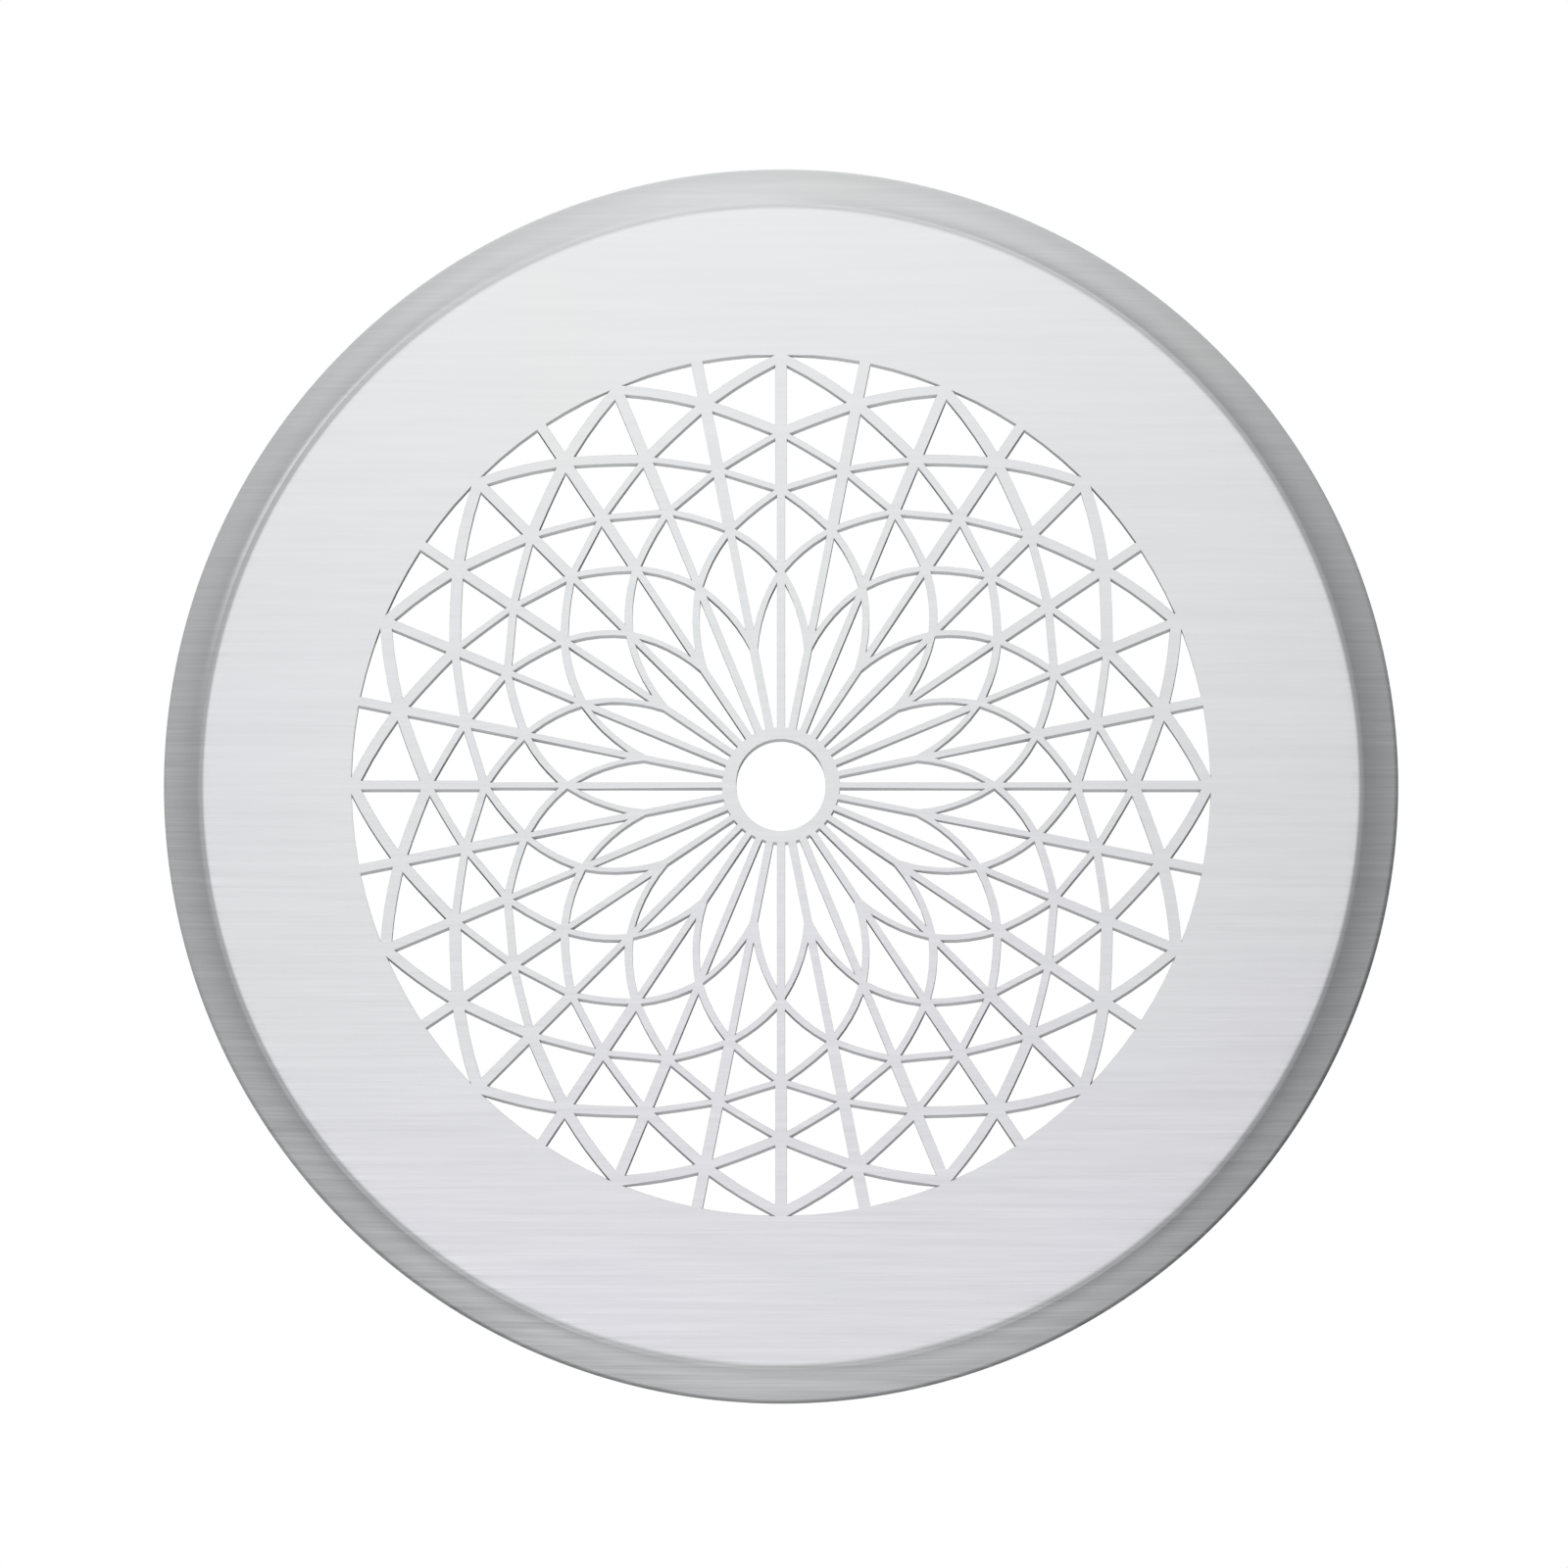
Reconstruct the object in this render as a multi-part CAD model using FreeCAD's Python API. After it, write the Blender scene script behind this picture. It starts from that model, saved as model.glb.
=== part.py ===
import FreeCAD, Part
import math
import os

os.makedirs("parts", exist_ok=True)

# Round ceiling air diffuser: a laser-cut face plate on a collar that pushes into a duct ring.
# The origin is on the duct's axis, in the plane of the ceiling. +Z runs up into the duct,
# so the face looks down. Lengths are millimetres, angles are degrees.

# Duct side, which sets the width of all the rest: the spigot fits a 160 mm duct
spigot_r = 79.5
spigot_height = 60.0
lead_height = 3.0
lead_in = 0.7
ring_sheet = 0.8
flange_width = 12.5
rib_rise = 0.9
rib_height = 2.4
lower_rib_z = 20.0

# Collar that slides into the spigot, with its flange on the back of the face plate
collar_gap = 3.2
collar_sheet = 0.8
collar_height = 48.0
collar_flange_width = 12.0

# Face plate
face_depth = 9.0
face_sheet = 1.0
flat_past_flange = 0.6
rim_width = 7.5
rim_bend_r = 2.2
rim_steep_deg = 70.0
rim_edge_drop = 1.5
rim_edge_r = 0.7

# Rosette cut through the face plate
collar_to_rosette = 5.5
centre_hole_r = 7.2
hub_r = 9.5
rosette_count = 16
thin_spoke_width = 1.32
wide_spoke_width = 1.88

# Rosette joints, as shares of its radius: even joints lie on 16 spokes, odd ones half way between
even_joint_shares = [0.996, 0.8215, 0.6893, 0.4986]
odd_joint_shares = [0.9046, 0.7491, 0.6062, 0.3194]

# Bars zigzag between the joints from the outside in, each bowed through a share half way
bar_middle_shares = [0.9498, 0.859, 0.7815, 0.7142, 0.647, 0.5563, 0.419]
outer_bar_width = 1.88
inner_bar_width = 1.3
petal_width = 1.15
bar_widths = [outer_bar_width] * 2 + [inner_bar_width] * 4 + [petal_width]

# Ceiling gasket
ceiling_gasket_height = 2.0
gasket_clearance = 0.4

# Duct seal: a band between the ribs with two lips that hang outwards
seal_band = 0.9
seal_height = 12.0
lip_reach = 1.9
lip_drop = 2.2
lip_thickness = 0.9
lip_top_shares = [0.95, 0.5]

# Fixing screws
screw_count = 4
screw_past_spigot = 4.5
screw_r = 2.0
screw_neck_r = 1.45
screw_rise = 26.0
screw_tip_height = 4.0
screw_head_r = 3.5
screw_head_height = 2.2
screw_dome_share = 0.5
screw_hole_clearance = 0.3
recess_width = 0.9
recess_reach = 1.9
recess_depth = 1.3

# Weld studs, washers and nuts that hold the collar
stud_count = 4
stud_past_collar = 7.5
stud_r = 1.5
stud_height = 3.9
stud_base_r = 2.1
stud_base_height = 0.6
stud_hole_clearance = 0.3
washer_r = 3.4
washer_sheet = 0.5
nut_side_count = 6
nut_flats = 5.5
nut_height = 1.8
thread_clearance = 0.05

# Front gasket between the face plate and the ring's flange
front_gasket_width = 3.0
front_gasket_clearance = 0.6

# Spring clips, bowed leaves hooked through slots in the collar
clip_count = 4
clip_width = 12.0
clip_sheet = 0.5
clip_slot_height = 14.0
clip_leg_height = 5.0
clip_crown_height = 18.0
clip_top_height = 29.0
clip_clearance = 0.3

# Running gap between pieces that move past each other
run_gap = 0.3

# How far a cutting shape runs past what it cuts
overrun = 2.0

full_turn = 360.0

# How the corners of a widened path are joined
round_join_type = 0
sharp_join_type = 2

# Derived sizes and heights
spigot_bore_r = spigot_r - ring_sheet
flange_r = spigot_r + flange_width
collar_r = spigot_bore_r - collar_gap
collar_bore_r = collar_r - collar_sheet
collar_flange_r = collar_r + collar_flange_width
flat_r = flange_r + flat_past_flange
face_r = flat_r + rim_width
rosette_r = collar_bore_r - collar_to_rosette
screw_circle_r = spigot_r + screw_past_spigot
stud_circle_r = collar_r + stud_past_collar
face_front_z = -face_depth
face_back_z = face_front_z + face_sheet
flange_top_z = -ceiling_gasket_height
flange_bottom_z = flange_top_z - ring_sheet
collar_flange_top_z = face_back_z + collar_sheet
screw_hole_r = screw_r + screw_hole_clearance
stud_hole_r = stud_base_r + stud_hole_clearance
slot_top_z = face_back_z + clip_slot_height
half_sector_deg = full_turn / rosette_count / 2
origin = FreeCAD.Vector(0, 0, 0)
up = FreeCAD.Vector(0, 0, 1)
down = FreeCAD.Vector(0, 0, -1)


def point(r, z):
    return FreeCAD.Vector(r, 0, z)


def polar(r, degrees, z=0.0):
    angle = math.radians(degrees)
    return FreeCAD.Vector(r * math.cos(angle), r * math.sin(angle), z)


def line(a, b):
    return Part.makeLine(a, b)


def arc(a, middle, b):
    return Part.Arc(a, middle, b).toShape()


def arc_round(centre, r, start, end):
    """Arc of radius r round a centre, between two unit directions."""
    middle = (start + end).normalize()
    return arc(centre + start * r, centre + middle * r, centre + end * r)


def revolved(edges):
    """Closed outline in the plane of X and Z, turned round the duct's axis."""
    return Part.Face(Part.Wire(edges)).revolve(origin, up, full_turn)


def outline(points):
    ring = points + points[:1]
    return [line(a, b) for a, b in zip(ring, ring[1:])]


def disc(r, height, z, x=0.0):
    return Part.makeCylinder(r, height, point(x, z), up)


def turned(shape, degrees):
    copy = shape.copy()
    copy.rotate(origin, up, degrees)
    return copy


def round_the_axis(shape, count, first_deg=0.0):
    return [turned(shape, first_deg + full_turn * i / count) for i in range(count)]


def write(name, shape):
    shape.exportStep("parts/" + name + ".step")
    solids = len(shape.Solids)
    print(name, "solids", solids, "volume", round(shape.Volume, 1), "valid", shape.isValid())


# Rosette

def bar_face(even_share, middle_share, odd_share, width):
    """Bowed bar of one width from an even joint through the middle to an odd joint, run past both."""
    bow = arc(
        polar(rosette_r * even_share, 0),
        polar(rosette_r * middle_share, half_sector_deg / 2),
        polar(rosette_r * odd_share, half_sector_deg),
    )
    circle = bow.Curve
    first, last = bow.ParameterRange
    extra = overrun / circle.Radius
    ends = (first - extra, (first + last) / 2, last + extra)
    spokes = [circle.value(u) - circle.Center for u in ends]
    outer = [circle.Center + way * (1 + width / 2 / circle.Radius) for way in spokes]
    inner = [circle.Center + way * (1 - width / 2 / circle.Radius) for way in spokes]
    edges = [arc(*outer), line(outer[2], inner[2]), arc(*reversed(inner)), line(inner[0], outer[0])]
    return Part.Face(Part.Wire(edges))


def spoke_face(r_from, r_to, width, degrees):
    a, b = FreeCAD.Vector(r_from, -width / 2, 0), FreeCAD.Vector(r_to, width / 2, 0)
    corners = [a, FreeCAD.Vector(b.x, a.y, 0), b, FreeCAD.Vector(a.x, b.y, 0)]
    return turned(Part.Face(Part.Wire(outline(corners))), degrees)


def half_sector_face():
    middle = half_sector_deg / 2
    edges = [
        line(polar(hub_r, 0), polar(rosette_r, 0)),
        arc(polar(rosette_r, 0), polar(rosette_r, middle), polar(rosette_r, half_sector_deg)),
        line(polar(rosette_r, half_sector_deg), polar(hub_r, half_sector_deg)),
        arc(polar(hub_r, half_sector_deg), polar(hub_r, middle), polar(hub_r, 0)),
    ]
    return Part.Face(Part.Wire(edges))


def rosette_openings():
    """The openings of one half sector: what the spokes and bars leave of it."""
    metal = []
    for row, middle_share in enumerate(bar_middle_shares):
        even_share = even_joint_shares[(row + 1) // 2]
        odd_share = odd_joint_shares[row // 2]
        metal.append(bar_face(even_share, middle_share, odd_share, bar_widths[row]))
    for step_share, degrees in ((even_joint_shares[2], 0), (odd_joint_shares[2], half_sector_deg)):
        step_r = rosette_r * step_share
        metal.append(spoke_face(0, step_r, thin_spoke_width, degrees))
        metal.append(spoke_face(step_r, rosette_r + overrun, wide_spoke_width, degrees))
    return half_sector_face().cut(metal).Faces


def rosette_cutters():
    cutters = []
    depth = up * (face_sheet + 2 * overrun)
    for opening in rosette_openings():
        prism = opening.extrude(depth)
        prism.translate(up * (face_front_z - overrun))
        mirrored = prism.mirror(origin, FreeCAD.Vector(0, 1, 0))
        for shape in (prism, mirrored):
            cutters += round_the_axis(shape, rosette_count)
    cutters.append(disc(centre_hole_r, depth.Length, face_front_z - overrun))
    return cutters


# Face plate

def face_plate():
    steep = math.radians(rim_steep_deg)
    square = point(math.sin(steep), -math.cos(steep))
    bend_centre = point(flat_r, face_front_z + rim_bend_r)
    bend_end = bend_centre + square * rim_bend_r
    edge = point(face_r, -rim_edge_drop)
    reach = edge - bend_end
    sweep_r = reach.dot(reach) / (2 * reach.dot(square))
    sweep_centre = bend_end + square * sweep_r
    edge_way = (edge - sweep_centre).normalize()
    along = point(edge_way.z, -edge_way.x)
    rounding = rim_edge_r / sweep_r
    round_start = edge_way * math.cos(rounding) - along * math.sin(rounding)
    round_centre = edge + (edge_way - along) * rim_edge_r
    back_bend_r, back_sweep_r = rim_bend_r - face_sheet, sweep_r + face_sheet
    round_edge = arc(
        sweep_centre + round_start * sweep_r,
        round_centre + (along - edge_way).normalize() * rim_edge_r,
        edge + edge_way * rim_edge_r,
    )
    edges = [
        line(point(0, face_front_z), point(flat_r, face_front_z)),
        arc_round(bend_centre, rim_bend_r, down, square),
        arc_round(sweep_centre, sweep_r, square * -1, round_start),
        round_edge,
        line(edge + edge_way * rim_edge_r, sweep_centre + edge_way * back_sweep_r),
        arc_round(sweep_centre, back_sweep_r, edge_way, square * -1),
        arc_round(bend_centre, back_bend_r, square, down),
        line(point(flat_r, face_back_z), point(0, face_back_z)),
        line(point(0, face_back_z), point(0, face_front_z)),
    ]
    return revolved(edges).cut(rosette_cutters())


# Mounting ring, gaskets and seal

def washer_ring(outer_r, inner_r, height, z):
    return disc(outer_r, height, z).cut(disc(inner_r, height + 2 * overrun, z - overrun))


def tube(r, sheet, bottom_z, top_z, rib_feet=()):
    """Sheet tube with outward ribs and a top end drawn in, turned from the path of its outer face."""
    corners = [point(r, bottom_z)]
    for foot_z in rib_feet:
        corners.append(point(r, foot_z))
        corners.append(point(r + rib_rise, foot_z + rib_height / 2))
        corners.append(point(r, foot_z + rib_height))
    corners.append(point(r, top_z - lead_height))
    corners.append(point(r - lead_in, top_z))
    side = Part.Wire([line(a, b) for a, b in zip(corners, corners[1:])])
    return side.makeOffset2D(sheet, sharp_join_type, True, True).revolve(origin, up, full_turn)


def half_step(count):
    return full_turn / count / 2


def screw_holes(height, z):
    hole = disc(screw_hole_r, height + 2 * overrun, z - overrun, screw_circle_r)
    return round_the_axis(hole, screw_count, half_step(screw_count))


def mounting_flange():
    ring = washer_ring(flange_r, spigot_r, ring_sheet, flange_bottom_z)
    return ring.cut(screw_holes(ring_sheet, flange_bottom_z))


def spigot():
    upper_rib_z = lower_rib_z + rib_height + seal_height
    return tube(spigot_r, ring_sheet, flange_bottom_z, spigot_height, (lower_rib_z, upper_rib_z))


def ceiling_gasket():
    inner_r = spigot_r + seal_band + lip_reach + gasket_clearance
    ring = washer_ring(flange_r, inner_r, ceiling_gasket_height, flange_top_z)
    return ring.cut(screw_holes(ceiling_gasket_height, flange_top_z))


def duct_seal():
    bottom_z = lower_rib_z + rib_height
    band_r = spigot_r + seal_band
    corners = [point(spigot_r, bottom_z), point(spigot_r, bottom_z + seal_height)]
    corners.append(point(band_r, bottom_z + seal_height))
    for share in lip_top_shares:
        root_z = bottom_z + seal_height * share
        corners.append(point(band_r, root_z))
        corners.append(point(band_r + lip_reach, root_z - lip_drop))
        corners.append(point(band_r, root_z - lip_thickness - lip_drop / 2))
    corners.append(point(band_r, bottom_z))
    return revolved(outline(corners))


# Fixing screws

def fixing_screw():
    """Threaded shank above the ceiling plane, thinner neck through gasket and flange, domed head."""
    shank_top = screw_rise - screw_tip_height
    neck = disc(screw_neck_r, -flange_bottom_z, flange_bottom_z, screw_circle_r)
    shank = disc(screw_r, shank_top, 0, screw_circle_r)
    tip = Part.makeCone(screw_r, 0, screw_tip_height, FreeCAD.Vector(screw_circle_r, 0, shank_top), up)
    skirt_height = screw_head_height * (1 - screw_dome_share)
    dome_height = screw_head_height - skirt_height
    skirt_z = flange_bottom_z - skirt_height
    dome_edge, dome_top = point(screw_head_r, skirt_z), point(0, skirt_z - dome_height)
    dome_r = (screw_head_r ** 2 + dome_height ** 2) / (2 * dome_height)
    dome_centre = dome_top + up * dome_r
    half_way = ((dome_edge - dome_centre) + (dome_top - dome_centre)).normalize()
    rim = point(screw_head_r, flange_bottom_z)
    head = revolved([
        arc(dome_top, dome_centre + half_way * dome_r, dome_edge),
        line(dome_edge, rim),
        line(rim, point(0, flange_bottom_z)),
        line(point(0, flange_bottom_z), dome_top),
    ])
    recess_z = flange_bottom_z - screw_head_height
    head.translate(FreeCAD.Vector(screw_circle_r, 0, 0))
    for length, width in ((recess_reach, recess_width), (recess_width, recess_reach)):
        corner = FreeCAD.Vector(screw_circle_r - length, -width, recess_z - overrun)
        head = head.cut(Part.makeBox(2 * length, 2 * width, recess_depth + overrun, corner))
    return neck.fuse([shank, tip, head]).removeSplitter()


def fixing_screws():
    return Part.makeCompound(round_the_axis(fixing_screw(), screw_count, half_step(screw_count)))


# Collar and what holds it on the face plate

def rear_collar():
    """Sleeve with a slot for the hook of each clip."""
    slot_height = clip_sheet + 2 * clip_clearance
    slot_width = clip_width + 2 * clip_clearance
    corner = FreeCAD.Vector(collar_bore_r - overrun, -slot_width / 2, slot_top_z - slot_height)
    slot = Part.makeBox(collar_sheet + 2 * overrun, slot_width, slot_height, corner)
    sleeve = tube(collar_r, collar_sheet, face_back_z, face_back_z + collar_height)
    return sleeve.cut(round_the_axis(slot, clip_count))


def collar_flange():
    ring = washer_ring(collar_flange_r, collar_r, collar_sheet, face_back_z)
    hole = disc(stud_hole_r, collar_sheet + 2 * overrun, face_back_z - overrun, stud_circle_r)
    return ring.cut(round_the_axis(hole, stud_count))


def weld_studs():
    base = disc(stud_base_r, stud_base_height, face_back_z, stud_circle_r)
    shank = disc(stud_r, stud_height, face_back_z, stud_circle_r)
    return Part.makeCompound(round_the_axis(base.fuse(shank), stud_count))


def thread_hole(height, z):
    return disc(stud_r + thread_clearance, height + 2 * overrun, z - overrun, stud_circle_r)


def stud_washers():
    z = collar_flange_top_z
    washer = disc(washer_r, washer_sheet, z, stud_circle_r).cut(thread_hole(washer_sheet, z))
    return Part.makeCompound(round_the_axis(washer, stud_count))


def stud_nuts():
    z = collar_flange_top_z + washer_sheet
    side_deg = full_turn / nut_side_count
    corner_r = nut_flats / 2 / math.cos(math.radians(side_deg / 2))
    corners = [polar(corner_r, side_deg * i, z) for i in range(nut_side_count)]
    blank = Part.Face(Part.Wire(outline(corners))).extrude(up * nut_height)
    blank.translate(FreeCAD.Vector(stud_circle_r, 0, 0))
    nut = blank.cut(thread_hole(nut_height, z))
    return Part.makeCompound(round_the_axis(nut, stud_count))


def front_gasket():
    inner_r = collar_flange_r + front_gasket_clearance
    height = flange_bottom_z - run_gap - face_back_z
    return washer_ring(inner_r + front_gasket_width, inner_r, height, face_back_z)


# Spring clips

def chord_x(r):
    """Where a flat strip as wide as a clip meets a wall of radius r at its two edges."""
    return math.sqrt(r ** 2 - (clip_width / 2) ** 2)


def spring_clip():
    """Strip hooked round the collar's wall through its slot, then bowed out towards the spigot."""
    floor_z = slot_top_z - clip_clearance
    leg_x = chord_x(collar_bore_r) - clip_clearance
    foot = point(collar_r + clip_clearance, floor_z)
    crown = point(chord_x(spigot_bore_r - run_gap) - clip_sheet, floor_z + clip_crown_height)
    rise = crown.x - foot.x
    bow_r = (rise ** 2 + clip_crown_height ** 2) / (2 * rise)
    past_crown = clip_top_height - clip_crown_height
    top_x = crown.x - bow_r + math.sqrt(bow_r ** 2 - past_crown ** 2)
    side = Part.Wire([
        line(point(leg_x, floor_z + clip_leg_height), point(leg_x, floor_z)),
        line(point(leg_x, floor_z), foot),
        arc(foot, crown, point(top_x, floor_z + clip_top_height)),
    ])
    section = side.makeOffset2D(-clip_sheet, round_join_type, True, True)
    clip = section.extrude(FreeCAD.Vector(0, clip_width, 0))
    clip.translate(FreeCAD.Vector(0, -clip_width / 2, 0))
    return clip


write("face_plate", face_plate())
write("rear_collar", rear_collar())
write("collar_flange", collar_flange())
write("weld_studs", weld_studs())
write("stud_washers", stud_washers())
write("stud_nuts", stud_nuts())
write("front_gasket", front_gasket())
for number, clip in enumerate(round_the_axis(spring_clip(), clip_count), start=1):
    write("spring_clip_" + str(number), clip)
write("mounting_flange", mounting_flange())
write("spigot", spigot())
write("ceiling_gasket", ceiling_gasket())
write("duct_seal", duct_seal())
write("fixing_screws", fixing_screws())
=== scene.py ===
import math
import bmesh
import bpy
from mathutils import Matrix, Vector


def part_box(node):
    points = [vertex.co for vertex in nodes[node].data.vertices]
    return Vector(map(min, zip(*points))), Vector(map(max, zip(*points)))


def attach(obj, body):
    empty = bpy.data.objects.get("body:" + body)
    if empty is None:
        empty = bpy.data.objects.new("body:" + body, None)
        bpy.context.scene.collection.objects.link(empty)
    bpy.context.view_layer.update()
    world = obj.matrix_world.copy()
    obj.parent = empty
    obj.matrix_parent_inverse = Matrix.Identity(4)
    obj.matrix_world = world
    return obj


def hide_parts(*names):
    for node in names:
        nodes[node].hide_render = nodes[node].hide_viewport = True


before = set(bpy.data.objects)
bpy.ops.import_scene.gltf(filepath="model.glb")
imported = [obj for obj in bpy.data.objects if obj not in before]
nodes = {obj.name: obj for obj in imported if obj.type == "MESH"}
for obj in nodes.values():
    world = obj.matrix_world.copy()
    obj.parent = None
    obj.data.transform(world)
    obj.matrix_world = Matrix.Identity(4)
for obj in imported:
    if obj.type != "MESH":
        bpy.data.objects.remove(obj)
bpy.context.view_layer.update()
scene = bpy.context.scene
scene.view_settings.view_transform = "Standard"
mm = 0.001
white = (1.0, 1.0, 1.0, 1.0)
studPlaces = (0, 90, 180, 270)  # degrees round the duct's axis, for slots and studs
screwPlaces = (45, 135, 225, 315)
print("frame loaded with", len(nodes), "nodes")


# Nodes

# a value is either a number or colour for the socket, or another node's output
def setInput(tree, socket, value):
    if isinstance(value, bpy.types.NodeSocket):
        tree.links.new(value, socket)
    else:
        socket.default_value = value


def setInputs(tree, node, inputs):
    for name, value in inputs.items():
        setInput(tree, node.inputs[name], value)


def addNode(tree, kind, inputs=None, **choices):
    node = tree.nodes.new("ShaderNode" + kind)
    for name, value in choices.items():
        setattr(node, name, value)
    setInputs(tree, node, inputs or {})
    return node


def addMath(tree, operation, *values):
    node = addNode(tree, "Math", dict(enumerate(values)), operation=operation)
    return node.outputs["Value"]


def addVector(tree, operation, *values):
    node = addNode(tree, "VectorMath", dict(enumerate(values)), operation=operation)
    return node.outputs["Value" if operation in ("LENGTH", "DOT_PRODUCT") else "Vector"]


def addMix(tree, kind, factor, first, second):
    node = addNode(tree, "Mix", data_type=kind)
    sockets = [socket for socket in node.inputs if socket.enabled]
    for socket, value in zip(sockets, (factor, first, second)):
        setInput(tree, socket, value)
    return [socket for socket in node.outputs if socket.enabled][0]


def addTint(tree, factor, first, second):
    return addMix(tree, "RGBA", factor, first + (1.0,), second + (1.0,))


# turns the middle of a noise into a range from low to high
def addRange(tree, value, low, high, fromLow=0.3, fromHigh=0.7):
    return addNode(tree, "MapRange", {
        "Value": value, "From Min": fromLow, "From Max": fromHigh,
        "To Min": low, "To Max": high}).outputs["Result"]


def addBump(tree, height, depth, strength=1.0):
    return addNode(tree, "Bump", {
        "Height": height, "Strength": strength, "Distance": depth}).outputs["Normal"]


def ownPlace(tree):
    return addNode(tree, "TexCoord").outputs["Object"]


def splitVector(tree, vector):
    return addNode(tree, "SeparateXYZ", {"Vector": vector}).outputs


# the scale is in repeats per metre, for each axis or one for all
def noiseAt(tree, place, scale, detail=2.0, roughness=0.5):
    scale = scale if isinstance(scale, tuple) else (scale,) * 3
    stretch = addNode(tree, "Mapping", {"Vector": place, "Scale": scale})
    return addNode(tree, "TexNoise", {
        "Vector": stretch.outputs["Vector"], "Scale": 1.0, "Detail": detail,
        "Roughness": roughness}).outputs["Fac"]


def addNoise(tree, scale, detail=2.0, roughness=0.5):
    return noiseAt(tree, ownPlace(tree), scale, detail, roughness)


# place on a round piece as (way round, height, distance from the axis), in metres
def placeRound(tree, radius):
    split = splitVector(tree, ownPlace(tree))
    way = addMath(tree, "MULTIPLY", addMath(tree, "ARCTAN2", split["Y"], split["X"]), radius)
    square = addMath(tree, "MULTIPLY", split["X"], split["X"])
    square = addMath(tree, "MULTIPLY_ADD", split["Y"], split["Y"], square)
    return addNode(tree, "CombineXYZ", {
        "X": way, "Y": split["Z"], "Z": addMath(tree, "SQRT", square)}).outputs["Vector"]


# Studio

cameraSettings = {
    "distance": 2.0,  # from the face plate, far enough for a flat view
    "frameWidth": 252.6 * mm,  # width of the picture at the face plate
    "sensor": 36.0,
    "sight": 100.0,
    "aimRight": 0.48 * mm,  # the object hangs a little left of and below the middle
    "aimUp": 0.40 * mm,
}
studioSettings = {
    "floorDrop": 2.6,
    "floorReach": ((-2.15, -3.7), (2.65, 3.5)),
    "floorColour": (0.82, 0.82, 0.82, 1.0),
    "floorLevel": 1.22,  # what metal mirrors of the floor right below it
    "floorSlope": (-0.08, -0.16, 0.0),  # how that changes per metre along X and Y
    "floorSlopeReach": 0.5,  # and how far from the middle it still changes
    "floorFar": (0.1, 2.65, 0.45),  # it falls between these distances, to this share
    "floorStretch": 0.55,  # a distance along Y counts this much
    "roomLevel": 0.40,  # what metal mirrors of the room above the floor
    "roomSlope": (-0.05, -0.09, -0.09),  # how that changes along X, Y and Z
    "roomCorners": 0.24,  # more light from between the axes
    "roomEnds": 0.45,  # and from both ends along Y, mostly above
    "roomTop": (0.88, 0.97, 0.35),  # it darkens between these heights, to this share
    "plainLevel": 0.75,  # what the room gives to surfaces that aren't mirrors
}
lampSettings = {
    "direction": (-0.2, -0.3, 0.95),  # from the object
    "distance": 2.2,
    "side": 2.4,
    "level": 0.30,  # of the light on the object
}


def makeCamera(settings):
    data = bpy.data.cameras.new("faceCamera")
    data.sensor_width = settings["sensor"]
    data.lens = settings["sensor"] * settings["distance"] / settings["frameWidth"]
    data.clip_end = settings["sight"]
    camera = bpy.data.objects.new("faceCamera", data)
    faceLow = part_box("face_plate")[0].z
    camera.location = (settings["aimRight"], -settings["aimUp"], faceLow - settings["distance"])
    camera.rotation_euler = (math.pi, 0, 0)  # looks straight up at the ceiling
    scene.collection.objects.link(camera)
    scene.camera = camera


def makeLamp(settings):
    data = bpy.data.lights.new("overheadLamp", "AREA")
    data.shape = "SQUARE"
    data.size = settings["side"]
    data.energy = settings["level"] * math.pi ** 2 * settings["distance"] ** 2
    lamp = bpy.data.objects.new("overheadLamp", data)
    way = Vector(settings["direction"]).normalized()
    lamp.location = way * settings["distance"]
    lamp.rotation_mode = "QUATERNION"
    lamp.rotation_quaternion = way.to_track_quat("Z", "Y")
    scene.collection.objects.link(lamp)


def makeRoom(settings):
    world = bpy.data.worlds.new("paleRoom")
    world.use_nodes = True
    scene.world = world
    tree = world.node_tree
    tree.nodes.clear()
    way = addNode(tree, "TexCoord").outputs["Generated"]
    split = splitVector(tree, way)
    level = addVector(tree, "DOT_PRODUCT", way, settings["roomSlope"])
    corner = addMath(tree, "MULTIPLY", split["X"], split["Y"])
    corner = addMath(tree, "MULTIPLY", corner, corner)
    level = addMath(tree, "MULTIPLY_ADD", corner, settings["roomCorners"], level)
    ends = addMath(tree, "POWER", addMath(tree, "ABSOLUTE", split["Y"]), 4.0)
    ends = addMath(tree, "MULTIPLY", ends, addMath(tree, "ADD", split["Z"], 1.0))
    level = addMath(tree, "MULTIPLY_ADD", ends, settings["roomEnds"], level)
    level = addMath(tree, "ADD", level, settings["roomLevel"])
    first, last, least = settings["roomTop"]
    top = addRange(tree, split["Z"], 1.0, least, first, last)
    mirrored = addMath(tree, "MULTIPLY", level, top)
    path = addNode(tree, "LightPath").outputs
    plain = addMath(tree, "MULTIPLY_ADD", path["Is Camera Ray"], 1 - settings["plainLevel"],
                    settings["plainLevel"])
    light = addNode(tree, "Background", {
        "Color": white, "Strength": addMix(tree, "FLOAT", path["Is Glossy Ray"], plain, mirrored)})
    addNode(tree, "OutputWorld", {"Surface": light.outputs["Background"]})


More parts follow.
